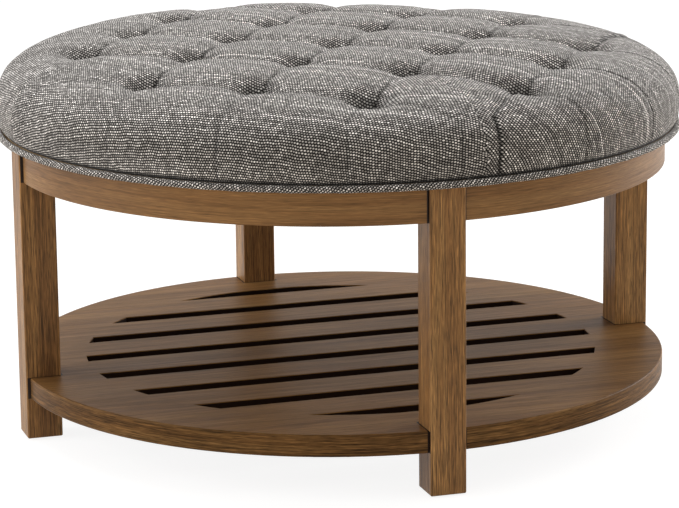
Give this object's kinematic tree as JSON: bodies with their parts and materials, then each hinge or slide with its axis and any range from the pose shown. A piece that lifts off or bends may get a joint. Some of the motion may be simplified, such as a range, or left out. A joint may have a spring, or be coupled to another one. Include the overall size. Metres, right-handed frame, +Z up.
{
  "type": "ottoman coffee table",
  "caption": "Round tufted ottoman coffee table: domed fabric cushion with welt on a bent wood apron, square legs and a slatted round storage shelf.",
  "frame": {"origin": "on the floor under the middle of the table", "axes": "+Z up, +X along the shelf's slots, legs on the X and Y axes"},
  "size_m": [0.8097, 0.8098, 0.457],
  "materials": {
    "stained_wood": "satin",
    "raw_wood": "matte",
    "plywood": "matte",
    "linen_fabric": "matte",
    "foam": "matte",
    "twine": "matte",
    "nylon": "matte",
    "dust_cloth": "matte",
    "zinc_steel": "satin"
  },
  "bodies": {
    "root": {"apron_back_left": "stained_wood", "apron_back_right": "stained_wood", "apron_dowels": "raw_wood", "apron_front_left": "stained_wood", "apron_front_right": "stained_wood", "block_screws": "zinc_steel", "bracket_screws": "zinc_steel", "corner_block_back": "raw_wood", "corner_block_front": "raw_wood", "corner_block_left": "raw_wood", "corner_block_right": "raw_wood", "cushion_cover": "linen_fabric", "cushion_welt": "linen_fabric", "deck_screws": "zinc_steel", "dust_cover": "dust_cloth", "dust_cover_staples": "zinc_steel", "foam_pad": "foam", "hanger_bolt_nuts": "zinc_steel", "hanger_bolt_washers": "zinc_steel", "hanger_bolts": "zinc_steel", "leg_back": "stained_wood", "leg_front": "stained_wood", "leg_glides": "nylon", "leg_left": "stained_wood", "leg_right": "stained_wood", "seat_deck": "plywood", "shelf_bracket_back": "zinc_steel", "shelf_bracket_front": "zinc_steel", "shelf_bracket_left": "zinc_steel", "shelf_bracket_right": "zinc_steel", "shelf_panel": "stained_wood", "tuft_anchors": "nylon", "tuft_twines": "twine"}
  },
  "joints": []
}
